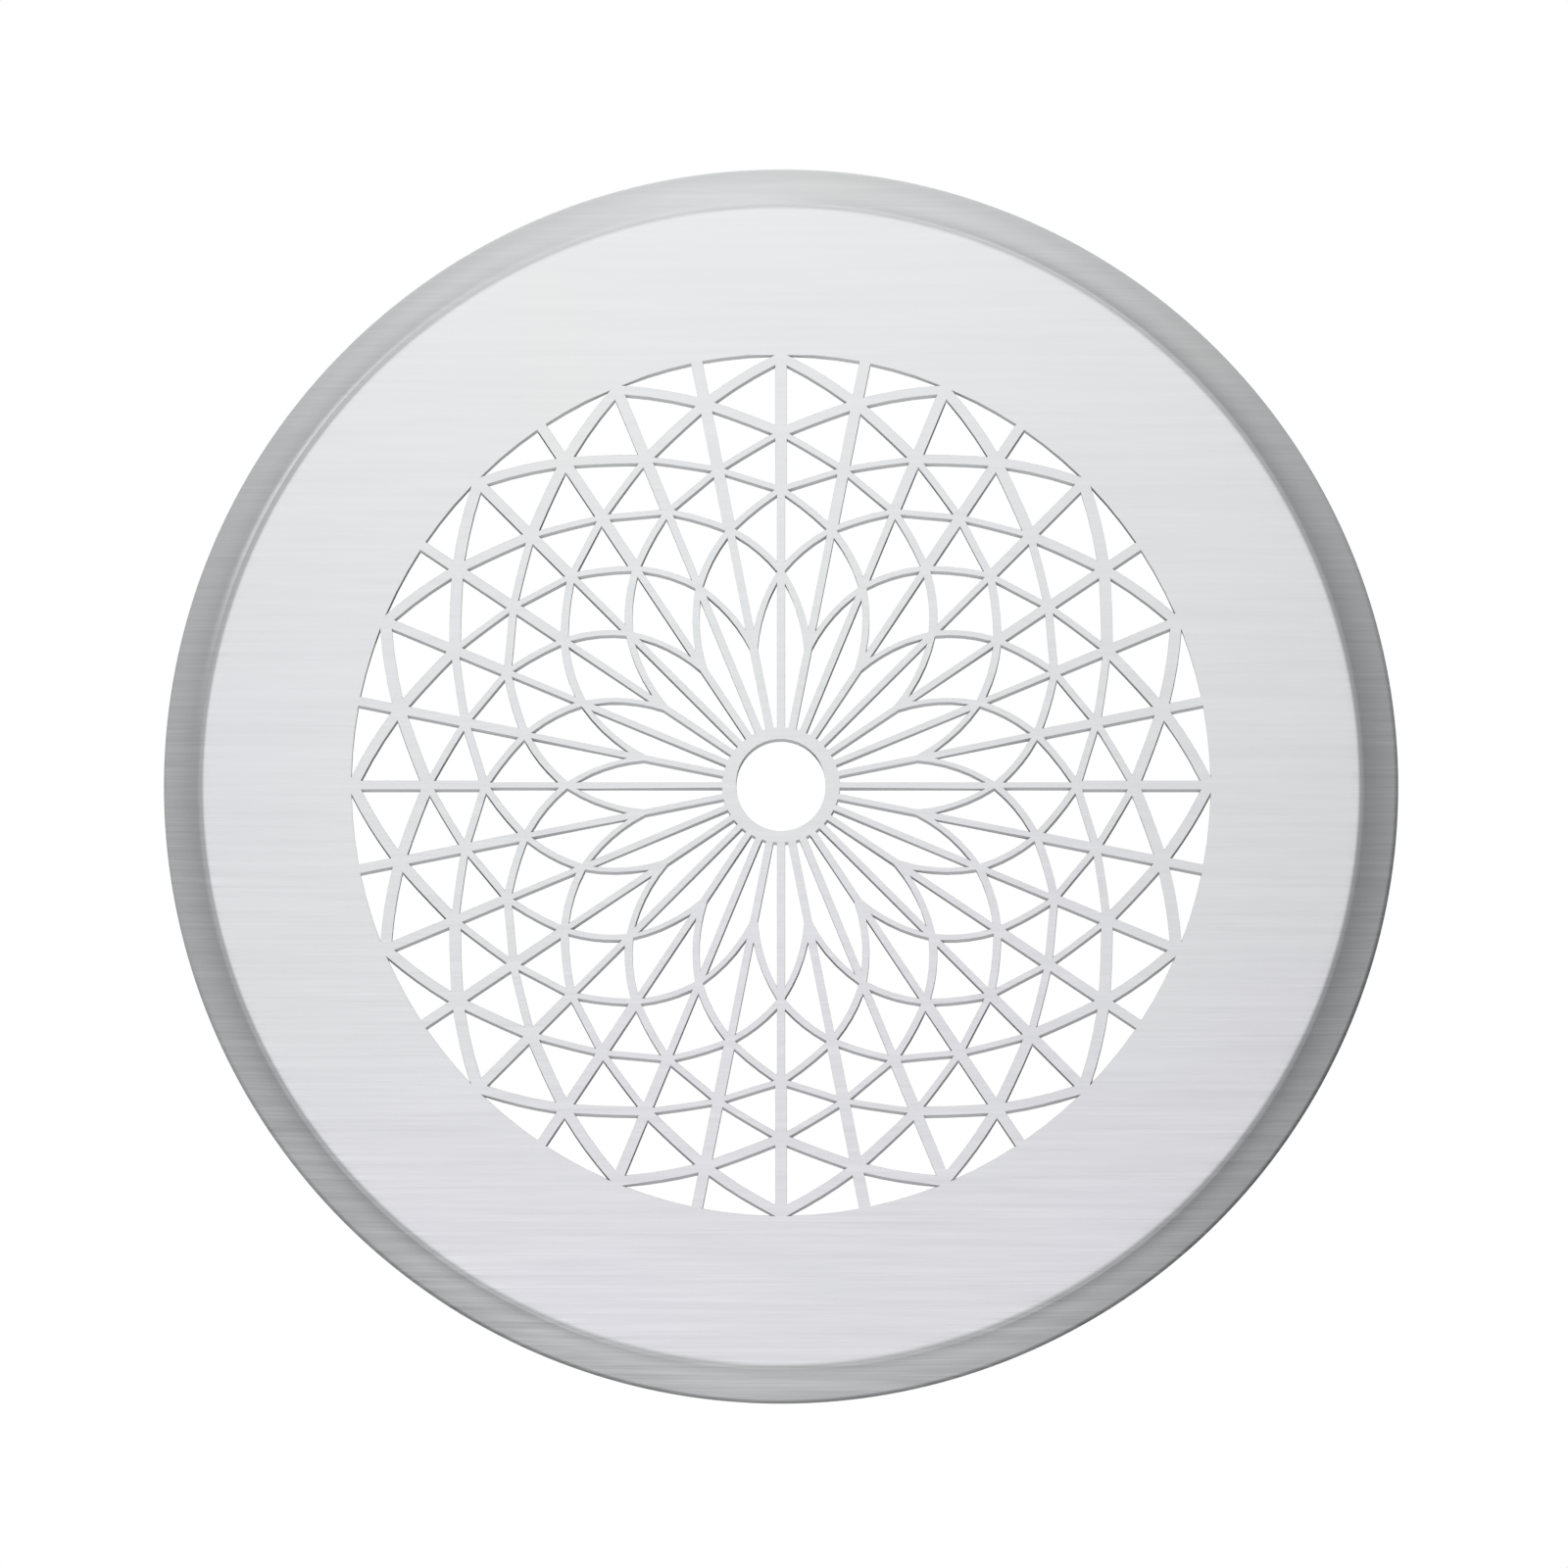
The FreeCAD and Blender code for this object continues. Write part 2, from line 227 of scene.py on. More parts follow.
def makeFloor(settings):
    bpy.ops.object.select_all(action="DESELECT")
    bpy.ops.mesh.primitive_plane_add(size=1.0)
    floor = bpy.context.active_object
    floor.name = "studioFloor"
    low, high = [Vector(corner) for corner in settings["floorReach"]]
    floor.scale = ((high - low).x, (high - low).y, 1.0)
    floor.location = ((low + high).x / 2, (low + high).y / 2, -settings["floorDrop"])
    bpy.ops.object.transform_apply(location=True, scale=True)
    material = bpy.data.materials.new("paleFloor")
    material.use_nodes = True
    tree = material.node_tree
    tree.nodes.clear()
    place, reach = ownPlace(tree), settings["floorSlopeReach"]
    near = addVector(tree, "MINIMUM", place, (reach,) * 3)
    near = addVector(tree, "MAXIMUM", near, (-reach,) * 3)
    slope = addVector(tree, "DOT_PRODUCT", near, settings["floorSlope"])
    level = addMath(tree, "ADD", slope, settings["floorLevel"])
    flat = addVector(tree, "MULTIPLY", place, (1.0, settings["floorStretch"], 0.0))
    first, last, least = settings["floorFar"]
    fall = addRange(tree, addVector(tree, "LENGTH", flat), 1.0, least, first, last)
    mirrored = addMath(tree, "MULTIPLY", level, fall)
    path = addNode(tree, "LightPath").outputs
    matt = addNode(tree, "BsdfDiffuse", {"Color": settings["floorColour"]})
    glow = addNode(tree, "Emission", {
        "Color": white, "Strength": addMix(tree, "FLOAT", path["Is Glossy Ray"], 1.0, mirrored)})
    seen = addMath(tree, "MAXIMUM", path["Is Camera Ray"], path["Is Glossy Ray"])
    seen = addMath(tree, "MAXIMUM", seen, path["Is Transmission Ray"])
    both = addNode(tree, "MixShader", {
        0: seen, 1: matt.outputs["BSDF"], 2: glow.outputs["Emission"]})
    addNode(tree, "OutputMaterial", {"Surface": both.outputs["Shader"]})
    floor.data.materials.append(material)


# Materials

def newMaterial(name, **constants):
    material = bpy.data.materials.new(name)
    material.use_nodes = True
    surface = material.node_tree.nodes["Principled BSDF"]
    for socket, value in constants.items():
        surface.inputs[socket.replace("_", " ")].default_value = value
    return material, material.node_tree


# painted shade darkens inside corners, and worn edges are lighter
def addCornerShadeAndWear(tree, colour, low, high):
    pointed = addNode(tree, "NewGeometry").outputs["Pointiness"]
    return addVector(tree, "MULTIPLY", colour, addRange(tree, pointed, low, high, 0.44, 0.56))


# shades a surface between dark and light, and gives it painted corner shade, edge wear, bump and
# roughness
def dressSurface(material, settings, shade, height, rough=None):
    tree = material.node_tree
    shade = addRange(tree, shade, 0.0, 1.0, *settings.get("contrast", (0.3, 0.7)))
    tint = addTint(tree, shade, settings["dark"], settings["light"])
    if "cornerShadeAndWear" in settings:
        tint = addCornerShadeAndWear(tree, tint, *settings["cornerShadeAndWear"])
    bump = addBump(tree, height, settings["depth"], settings.get("bumpStrength", 1.0))
    inputs = {"Base Color": tint, "Normal": bump}
    if rough is not None:
        inputs["Roughness"] = rough
    setInputs(tree, tree.nodes["Principled BSDF"], inputs)
    return material


brushedSettings = {
    "cool": (0.803, 0.798, 0.846),
    "neutral": (0.813, 0.825, 0.826),
    "neutralShare": (0.55, 0.25, -0.4),  # in the middle, its change by clouds, and towards +Y
    "rimNeutral": 0.65,  # the least share on the rim
    "cloudSize": 55 * mm,
    "lineLength": 30 * mm,
    "lineWidths": (0.35 * mm, 1.1 * mm),
    "lineShade": 0.054,
    "rimShade": 0.22,  # the grain opens where the sheet was bent and stretched
    "lineSlope": 0.55,  # how much stronger the grain is at the +Y edge
    "rim": (91.5 * mm, 94 * mm),
    "roughness": 0.34,
    "roughnessSpread": 0.015,
    "anisotropic": 0.85,
    "lineDepth": 0.030 * mm,
    "edge": (99.05 * mm, 99.50 * mm),
    "paintedEdgeShade": 0.55,  # painted shade: the outer edge is darker on its +X and +Y side
    "paintedShadeWay": (0.35, 0.94, 0.0),
    "paintedShadeFacing": (-0.2, 0.7),  # from where on it darkens, and where it is darkest
    "reach": 92 * mm,  # half the width of the brushed sheet that shows
    "ends": (-0.055, 0.03),  # painted shade and light: the colour changes from the middle to the edges, darker at the X ends and lighter at the Y ends
    "drift": (-0.030, -0.048),  # and painted light from one edge to the other, lighter towards -X and -Y
}


# grain of straight lines along X, as the sheet was brushed before it was formed, with painted
# light and shade across the plate and on its outer edge
def brushedSteel(settings):
    material, tree = newMaterial("brushedStainless", Metallic=1.0,
                                 Anisotropic=settings["anisotropic"])
    along = 1 / settings["lineLength"]
    fine, broad = [addNoise(tree, (along, 1 / width, along), 3.0, 0.6)
                   for width in settings["lineWidths"]]
    lines = addMix(tree, "FLOAT", 0.5, fine, broad)
    cloud = addNoise(tree, 1 / settings["cloudSize"], 1.0)
    place, reach = ownPlace(tree), settings["reach"]
    split = splitVector(tree, place)
    flat = addVector(tree, "MULTIPLY", place, (1.0, 1.0, 0.0))
    away = addVector(tree, "LENGTH", flat)

    share, clouds, slope = settings["neutralShare"]
    neutral = addRange(tree, cloud, share - clouds, share + clouds)
    neutral = addMath(tree, "MULTIPLY_ADD", split["Y"], slope / reach, neutral)
    rimNeutral = addRange(tree, away, 0.0, settings["rimNeutral"], *settings["rim"])
    neutral = addMath(tree, "MAXIMUM", neutral, rimNeutral)
    neutral = addMath(tree, "MINIMUM", neutral, 1.0)
    tint = addTint(tree, neutral, settings["cool"], settings["neutral"])

    strength = addMath(tree, "MULTIPLY_ADD", split["Y"], settings["lineSlope"] / reach, 1.0)
    spread = addRange(tree, away, settings["lineShade"], settings["rimShade"], *settings["rim"])
    spread = addMath(tree, "MULTIPLY", spread, strength)
    shade = addMath(tree, "MULTIPLY_ADD", addRange(tree, lines, -0.5, 0.5), spread, 1.0)
    # painted shade: the outermost edge is darkened on the side that faces +X and +Y
    way = addVector(tree, "NORMALIZE", flat)
    facing = addVector(tree, "DOT_PRODUCT", way, settings["paintedShadeWay"])
    dark = addRange(tree, facing, 0.0, -settings["paintedEdgeShade"], *settings["paintedShadeFacing"])
    inPaintedEdgeShade = addRange(tree, away, 0.0, 1.0, *settings["edge"])
    shade = addMath(tree, "MULTIPLY_ADD", inPaintedEdgeShade, dark, shade)
    # painted light and shade across the plate: lighter towards -X and -Y, darker at the X ends,
    # lighter at the Y ends
    for axis, end, drift in zip("XY", settings["ends"], settings["drift"]):
        part = addMath(tree, "DIVIDE", split[axis], reach)
        square = addMath(tree, "MULTIPLY", part, part)
        shade = addMath(tree, "MULTIPLY_ADD", square, end, shade)
        shade = addMath(tree, "MULTIPLY_ADD", part, drift, shade)

    change = settings["roughnessSpread"]
    rough = addRange(tree, lines, change, -change)
    rough = addMath(tree, "MULTIPLY_ADD", rough, strength, settings["roughness"])
    height = addMath(tree, "MULTIPLY", lines, strength)
    setInputs(tree, tree.nodes["Principled BSDF"], {
        "Base Color": addVector(tree, "MULTIPLY", tint, shade), "Roughness": rough,
        "Normal": addBump(tree, height, settings["lineDepth"]),
        "Tangent": addNode(tree, "CombineXYZ", {"Y": 1.0}).outputs["Vector"]})
    return material


cutEdgeSettings = {
    "light": (0.70, 0.70, 0.71),
    "dark": (0.52, 0.51, 0.50),
    "grooveWidth": 0.12 * mm,
    "grooveHeight": 3 * mm,
    "depth": 0.006 * mm,
    "roughness": 0.38,
}


# the laser leaves fine grooves square to the sheet
def cutEdge(settings):
    material, tree = newMaterial("laserCutEdge", Metallic=1.0, Roughness=settings["roughness"])
    across = 1 / settings["grooveWidth"]
    grooves = addNoise(tree, (across, across, 1 / settings["grooveHeight"]), 1.0)
    return dressSurface(material, settings, grooves, grooves)


millSettings = {
    "light": (0.66, 0.66, 0.67),
    "dark": (0.58, 0.58, 0.59),
    "patchSize": 18 * mm,
    "lineWidth": 0.5 * mm,
    "lineLength": 60 * mm,
    "lineShare": 0.45,
    "roughness": (0.31, 0.43),
    "depth": 0.003 * mm,
}


# plain mill finish of the sheet's back and of the collar
def millSteel(settings):
    material, tree = newMaterial("millFinish", Metallic=1.0)
    patches = addNoise(tree, 1 / settings["patchSize"], 3.0)
    across = 1 / settings["lineWidth"]
    lines = addNoise(tree, (1 / settings["lineLength"], across, across))
    both = addMix(tree, "FLOAT", settings["lineShare"], patches, lines)
    rough = addRange(tree, patches, *settings["roughness"])
    return dressSurface(material, settings, both, both, rough)


galvanisedSettings = {
    "light": (0.69, 0.71, 0.73),
    "dark": (0.55, 0.57, 0.59),
    "contrast": (0.15, 0.85),
    "crystal": 3.2 * mm,  # size of the zinc's crystals
    "ragged": 0.8 * mm,
    "feathers": (2600, 700, 1500),  # repeats per metre
    "featherShare": 0.35,
    "cloudSize": 40 * mm,
    "cloudShare": 0.25,
    "roughness": (0.32, 0.48),
    "depth": 0.008 * mm,
}


def galvanisedSheet(settings):
    material, tree = newMaterial("galvanisedSheet", Metallic=1.0)
    place, scale = ownPlace(tree), 1 / settings["crystal"]
    drift = addNode(tree, "TexNoise", {"Vector": place, "Scale": scale})
    pushed = addVector(tree, "MULTIPLY_ADD", drift.outputs["Color"],
                       (settings["ragged"],) * 3, place)
    crystals = addNode(tree, "TexVoronoi", {"Vector": pushed, "Scale": scale})
    split = splitVector(tree, crystals.outputs["Color"])
    feathers = addNoise(tree, settings["feathers"], 3.0, 0.6)
    shade = addMix(tree, "FLOAT", settings["featherShare"], split["X"], feathers)
    cloud = addNoise(tree, 1 / settings["cloudSize"])
    shade = addMix(tree, "FLOAT", settings["cloudShare"], shade, cloud)
    height = addMix(tree, "FLOAT", 0.5, split["X"], feathers)
    rough = addRange(tree, split["Y"], *settings["roughness"], 0.0, 1.0)
    return dressSurface(material, settings, shade, height, rough)


foamSettings = {
    "light": (0.105, 0.105, 0.11),
    "dark": (0.055, 0.055, 0.058),
    "contrast": (0.2, 0.75),
    "cell": 0.35 * mm,
    "patches": 160,  # repeats per metre
    "patchShare": 0.4,
    "roughness": 0.92,
    "depth": 0.10 * mm,
    "bumpStrength": 0.8,
}


def closedFoam(settings):
    material, tree = newMaterial("closedCellFoam", Roughness=settings["roughness"],
                                 Specular_IOR_Level=0.25)
    cells = addNode(tree, "TexVoronoi", {
        "Vector": ownPlace(tree), "Scale": 1 / settings["cell"]}).outputs["Distance"]
    patches = addNoise(tree, settings["patches"], 3.0)
    pores = addMix(tree, "FLOAT", settings["patchShare"], cells, patches)
    return dressSurface(material, settings, pores, cells)


rubberSettings = {
    "light": (0.075, 0.075, 0.078),  # where it has bloomed
    "dark": (0.036, 0.036, 0.038),
    "contrast": (0.45, 0.8),
    "bloom": 120,  # repeats per metre
    "roughness": (0.42, 0.62),
    "lineWidth": 0.22 * mm,
    "lineLength": 40 * mm,
    "depth": 0.008 * mm,
    "radius": 81 * mm,
}


# the seal has fine lines along its length from the mould, and a thin grey bloom
def sealRubber(settings):
    material, tree = newMaterial("sealRubber", Specular_IOR_Level=0.45)
    across = 1 / settings["lineWidth"]
    lines = noiseAt(tree, placeRound(tree, settings["radius"]),
                    (1 / settings["lineLength"], across, across))
    bloom = addNoise(tree, settings["bloom"], 4.0, 0.6)
    rough = addRange(tree, bloom, *settings["roughness"])
    return dressSurface(material, settings, bloom, lines, rough)


zincSettings = {
    "light": (0.74, 0.755, 0.78),
    "dark": (0.62, 0.63, 0.645),
    "cornerShadeAndWear": (0.8, 1.08),
    "patches": 450,  # repeats per metre
    "roughness": (0.36, 0.20),  # where it is dark, and where it is light
    "grain": 0.5 * mm,
    "depth": 0.004 * mm,
}


def zincPlate(settings):
    material, tree = newMaterial("brightZinc", Metallic=1.0)
    patches = addNoise(tree, settings["patches"], 4.0, 0.6)
    grain = addNoise(tree, 1 / settings["grain"], 3.0)
    rough = addRange(tree, patches, *settings["roughness"])
    return dressSurface(material, settings, patches, grain, rough)


brightSettings = {
    "light": (0.74, 0.74, 0.74),
    "dark": (0.64, 0.64, 0.645),
    "cornerShadeAndWear": (0.82, 1.06),
    "across": 150,  # repeats per metre
    "lineWidth": 0.08 * mm,
    "roughness": 0.27,
    "depth": 0.003 * mm,
}


def brightSteel(settings):
    material, tree = newMaterial("turnedStainless", Metallic=1.0, Roughness=settings["roughness"])
    across = settings["across"]
    rings = addNoise(tree, (across, across, 1 / settings["lineWidth"]))
    return dressSurface(material, settings, rings, rings)


springSettings = {
    "light": (0.60, 0.605, 0.615),
    "dark": (0.50, 0.505, 0.52),
    "cornerShadeAndWear": (0.85, 1.1),
    "lineWidth": 0.18 * mm,
    "lineLength": 14 * mm,
    "smears": (220, 220, 90),  # repeats per metre
    "roughness": (0.28, 0.40),
    "depth": 0.003 * mm,
}


# rolled strip, its lines run up the leaf
def springStrip(settings):
    material, tree = newMaterial("springStrip", Metallic=1.0)
    across = 1 / settings["lineWidth"]
    lines = addNoise(tree, (across, across, 1 / settings["lineLength"]))
    smears = addNoise(tree, settings["smears"], 3.0)
    both = addMix(tree, "FLOAT", 0.5, lines, smears)
    rough = addRange(tree, both, *settings["roughness"])
    return dressSurface(material, settings, both, lines, rough)


# Modelling by hand

touch = 0.002 * mm  # points closer than this are one


def activate(piece):
    bpy.ops.object.select_all(action="DESELECT")
    piece.select_set(True)
    bpy.context.view_layer.objects.active = piece


def editPiece(piece):
    activate(piece)
    bpy.ops.object.mode_set(mode="EDIT")
    bpy.context.tool_settings.mesh_select_mode = (False, False, True)
    bpy.ops.mesh.select_all(action="DESELECT")
    return bmesh.from_edit_mesh(piece.data)


def endEdit(smoothAngle=30):
    bpy.ops.object.mode_set(mode="OBJECT")
    bpy.ops.object.shade_smooth_by_angle(angle=math.radians(smoothAngle))


# a piece of its own with the shape of a CAD node, its loose triangles sewn together
def sewnCopy(node, name):
    piece = bpy.data.objects.new(name, nodes[node].data.copy())
    scene.collection.objects.link(piece)
    piece.data.materials.clear()
    editPiece(piece)
    bpy.ops.mesh.select_all(action="SELECT")
    bpy.ops.mesh.customdata_custom_splitnormals_clear()
    bpy.ops.mesh.remove_doubles(threshold=touch)
    bpy.ops.mesh.select_all(action="DESELECT")
    bpy.ops.object.mode_set(mode="OBJECT")
    return piece


def applyModifier(piece, kind, **choices):
    activate(piece)
    modifier = piece.modifiers.new("change", kind)
    for name, value in choices.items():
        setattr(modifier, name, value)
    bpy.ops.object.modifier_apply(modifier=modifier.name)


# cuts a tool piece away, or keeps what lies inside it, and removes the tool
def cutWith(piece, tool, operation="DIFFERENCE"):
    applyModifier(piece, "BOOLEAN", object=tool, operation=operation, solver="EXACT")
    bpy.data.objects.remove(tool)


def easeCorners(piece, width, angle=50):
    applyModifier(piece, "BEVEL", width=width, segments=2, limit_method="ANGLE",
                  angle_limit=math.radians(angle))


def joinPieces(pieces):
    activate(pieces[0])
    for piece in pieces:
        piece.select_set(True)
    bpy.ops.object.join()
    return pieces[0]


# moves a piece out along X, then turns it round the duct's axis
def movePiece(piece, out=0.0, turn=0.0):
    turned = Matrix.Rotation(math.radians(turn), 4, "Z")
    piece.data.transform(turned @ Matrix.Translation((out, 0, 0)))
    return piece


def roundTool(radius, low, high, out=0.0, vertices=48):
    bpy.ops.object.select_all(action="DESELECT")
    bpy.ops.mesh.primitive_cylinder_add(vertices=vertices, radius=radius, depth=high - low,
                                        location=(out, 0, (low + high) / 2))
    bpy.ops.object.transform_apply(location=True)
    return bpy.context.active_object


def blockTool(low, high, turn=0.0):
    bpy.ops.object.select_all(action="DESELECT")
    bpy.ops.mesh.primitive_cube_add(size=1.0, location=[(a + b) / 2 for a, b in zip(low, high)],
                                    scale=[b - a for a, b in zip(low, high)])
    bpy.ops.object.transform_apply(location=True, scale=True)
    return movePiece(bpy.context.active_object, turn=turn)


def drillHoles(piece, radius, low, high, circle, places):
    for turn in places:
        tool = roundTool(radius, low - mm, high + mm, circle)
        cutWith(piece, movePiece(tool, turn=turn))


def coatPiece(piece, material, smoothAngle=35):
    piece.data.materials.append(material)
    editPiece(piece)
    bpy.ops.mesh.select_all(action="SELECT")
    bpy.ops.mesh.dissolve_degenerate(threshold=touch / 10)
    endEdit(smoothAngle)


def finishPiece(piece, body, node):
    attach(piece, body)
    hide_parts(node)


# sets copies of a piece round the duct's axis, each with its own mesh
def finishCopies(piece, name, settings, material, body, node, smoothAngle=35):
    movePiece(piece, settings["circle"])
    coatPiece(piece, material, smoothAngle)
    for number, angle in enumerate(settings["places"], start=1):
        copy = bpy.data.objects.new(name + str(number), piece.data.copy())
        scene.collection.objects.link(copy)
        movePiece(copy, turn=angle)
        finishPiece(copy, body, node)
    bpy.data.objects.remove(piece)


# Turned pieces

def ringOutline(inner, outer, low, high):
    return [(inner, low), (outer, low), (outer, high), (inner, high)]


# rounds the corners of a closed outline of (radius, height) points
def softened(corners, reach, steps=4):
    outline = []
    for place, corner in enumerate(corners):
        middle = Vector(corner)
        before = Vector(corners[place - 1]) - middle
        after = Vector(corners[(place + 1) % len(corners)]) - middle
        start = before.normalized() * min(reach, before.length * 0.45)
        end = after.normalized() * min(reach, after.length * 0.45)
        for step in range(steps + 1):
            along = step / steps
            outline.append(tuple(middle + start * (1 - along) ** 2 + end * along ** 2))
    return outline


# points along moves of (reach, turn, steps): straight runs of a length, or arcs of a radius
def walkPath(start, heading, moves):
    points = [Vector(start)]
    way = math.radians(heading)
    for reach, turn, steps in moves:
        part = math.radians(turn) / steps
        stride = 2 * reach * math.sin(abs(part) / 2) if turn else reach
        for step in range(steps):
            middle = way + part / 2
            if stride:
                points.append(points[-1] + Vector((math.cos(middle), math.sin(middle))) * stride)
            way += part
    return [tuple(point) for point in points]


# closed outline of a sheet wall, from the path of its outer side, bottom end first
def wallOutline(path, sheet):
    points = [Vector(point) for point in path]
    ways = [(after - before).normalized() for before, after in zip(points, points[1:])]
    inner = []
    for place, point in enumerate(points):
        before, after = ways[max(place - 1, 0)], ways[min(place, len(ways) - 1)]
        middle = (before + after).normalized()
        inwards = Vector((-middle.y, middle.x)) / middle.dot(after)
        inner.append(tuple(point + inwards * sheet))
    return [tuple(point) for point in points] + inner[::-1]


# joins the turns of a spun outline, closes its ends and points its faces outwards
def closeTurns(ends):
    bpy.ops.mesh.select_all(action="SELECT")
    bpy.ops.mesh.remove_doubles(threshold=touch)
    if ends:
        bpy.ops.mesh.fill_holes(sides=0)
        bpy.ops.mesh.select_all(action="SELECT")
    bpy.ops.mesh.normals_make_consistent(inside=False)
    bpy.ops.object.mode_set(mode="OBJECT")


# turns an outline round the axis: a closed one for a ring, an open one for a capped solid
def turnedPiece(name, outline, segments=192, closed=True):
    bpy.ops.object.select_all(action="DESELECT")
    radius, height = outline[0]
    bpy.ops.mesh.primitive_circle_add(vertices=segments, radius=radius, location=(0, 0, height))
    piece = bpy.context.active_object
    piece.name = name
    bpy.ops.object.transform_apply(location=True)
    bpy.ops.object.mode_set(mode="EDIT")
    bpy.context.tool_settings.mesh_select_mode = (True, False, False)
    bpy.ops.mesh.select_all(action="SELECT")
    for nextRadius, nextHeight in outline[1:] + (outline[:1] if closed else []):
        bpy.ops.mesh.extrude_region_move(
            TRANSFORM_OT_translate={"value": (0, 0, nextHeight - height)})
        grow = nextRadius / radius
        bpy.ops.transform.resize(value=(grow, grow, 1), center_override=(0, 0, nextHeight))
        radius, height = nextRadius, nextHeight
    closeTurns(ends=not closed)
    return piece


# ridge of a screw thread, a closed band wound round the upright axis
def threadRidge(name, root, crest, pitch, low, turns, steps):
    half = pitch * 0.36  # half its height at the root
    bpy.ops.object.select_all(action="DESELECT")
    bpy.ops.mesh.primitive_circle_add(vertices=4, radius=half, rotation=(math.pi / 2, 0, 0))
    piece = bpy.context.active_object
    piece.name = name
    bpy.ops.object.transform_apply(rotation=True)
    for vert in piece.data.vertices:
        vert.co.x = crest if vert.co.x > touch else root
        vert.co.z = vert.co.z + low + half
    applyModifier(piece, "SCREW", angle=2 * math.pi, screw_offset=pitch, iterations=turns,
                  steps=steps, render_steps=steps, use_merge_vertices=False)
    editPiece(piece)
    closeTurns(ends=True)
    return piece


# Face plate

facePlateSettings = {
    "easedWidth": (0.03 * mm, 0.50 * mm),  # on walls turned away from the brush, and towards it
    "easedDepth": 0.34 * mm,
    "easedFacing": 0.1,  # a wall that faces the brush less has the least width
    "easedCorner": 1.5,  # a sharp corner moves no further than this many full widths
    "brushWay": (0.12, 0.99),
    "rosetteReach": 69.6 * mm,  # all cut edges lie inside this radius
    "rimStart": 91.8 * mm,  # the rim is turned from here outwards
    "flatReach": 92.8 * mm,
    "sheet": 1.0 * mm,
    "bend": (1.4 * mm, 68),  # radius and turn in degrees
    "steepRun": 0.20 * mm,
    "sweep": (12.37 * mm, 38.1),
    "roundEdge": 0.7 * mm,
    "segments": 288,
}


# how far the eased edge reaches into the metal, from the facings of the walls that meet there
def easeStep(walls, settings):
    brush, facing = Vector(settings["brushWay"]).normalized(), settings["easedFacing"]
    first = walls[0]
    second = min(walls, key=first.dot)
    least, full = settings["easedWidth"]
    firstWidth, secondWidth = [
        least + (full - least) * max(wall.dot(brush) - facing, 0.0) / (1 - facing)
        for wall in (first, second)]
    cross = first.x * second.y - first.y * second.x
    if abs(cross) < 0.15:  # the walls are nearly in line
        return (first * firstWidth + second * secondWidth) / -2
    step = Vector((firstWidth * second.y - secondWidth * first.y,
                   secondWidth * first.x - firstWidth * second.x)) / -cross
    return step * min(1.0, settings["easedCorner"] * full / step.length)


# eases the cut edges of a flat face that looks down, most where they face the brush
def easeOpenings(piece, level, settings):
    mesh = editPiece(piece)
    for face in mesh.faces:
        middle = face.calc_center_median().z
        face.select_set(face.normal.z < -0.9999 and abs(middle - level) < touch)
    bmesh.update_edit_mesh(piece.data)
    bpy.ops.mesh.inset(thickness=settings["easedWidth"][0], use_even_offset=False)
    mesh = bmesh.from_edit_mesh(piece.data)
    for vert in mesh.verts:
        inPlane = abs(vert.co.z - level) < touch and vert.co.xy.length < settings["rosetteReach"]
        if not inPlane or any(face.select for face in vert.link_faces):
            continue
        walls = [face.normal.xy.normalized() for face in vert.link_faces
                 if abs(face.normal.z) < 0.5]
        step = easeStep(walls, settings)
        for inner in [edge.other_vert(vert) for edge in vert.link_edges]:
            if any(face.select for face in inner.link_faces):
                inner.co.xy = vert.co.xy + step
        vert.co.z += settings["easedDepth"]
    bmesh.update_edit_mesh(piece.data)
    bpy.ops.mesh.select_all(action="DESELECT")
    bpy.ops.object.mode_set(mode="OBJECT")


# the sheet's front, round its outer edge and back along its other side
def rimOutline(settings, level):
    start, sheet, edge = settings["rimStart"], settings["sheet"], settings["roundEdge"]
    bend, bendTurn = settings["bend"]
    sweep, sweepTurn = settings["sweep"]
    flat, steep = settings["flatReach"] - start, settings["steepRun"]
    outline = walkPath((start, level), 0, [
        (flat, 0, 1), (bend, bendTurn, 10), (steep, 0, 1), (sweep, -sweepTurn, 12),
        (edge, 90, 9), (sheet - edge, 0, 1), (0.0, 90, 1),
        (sweep + sheet, sweepTurn, 10), (steep, 0, 1), (bend - sheet, -bendTurn, 6)])
    return outline + [(start, level + sheet)]


# gives each face the material that a test picks, as a place in the list
def paintFaces(piece, materials, pick):
    for material in materials:
        piece.data.materials.append(material)
    for face in piece.data.polygons:
        face.material_index = pick(face.center, face.normal)


def facePlate(settings, front, cut, back):
    piece = sewnCopy("face_plate", "brushedFacePlate")
    level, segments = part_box("face_plate")[0].z, settings["segments"]
    disc = roundTool(settings["rimStart"], level - mm, mm, vertices=segments)
    cutWith(piece, disc, "INTERSECT")
    easeOpenings(piece, level, settings)
    rim = turnedPiece("plateRim", rimOutline(settings, level), segments)
    piece = joinPieces([piece, rim])

    def pick(centre, normal):
        if abs(normal.z) < 0.3 and centre.xy.length < settings["rosetteReach"]:
            return 1
        return 2 if normal.z > 0 else 0

    paintFaces(piece, (front, cut, back), pick)
    editPiece(piece)
    endEdit()
    finishPiece(piece, "face", "face_plate")


# Welds

seamSettings = {
    "ripple": 1.1 * mm,  # length of a ripple
    "profile": ((0.25, 0.5), (0.8, 0.44)),  # places along a ripple, and their share of the width
    "endShare": 0.3,
    "height": 0.35,  # of the bead, as a share of half its width
    "segments": 12,
}


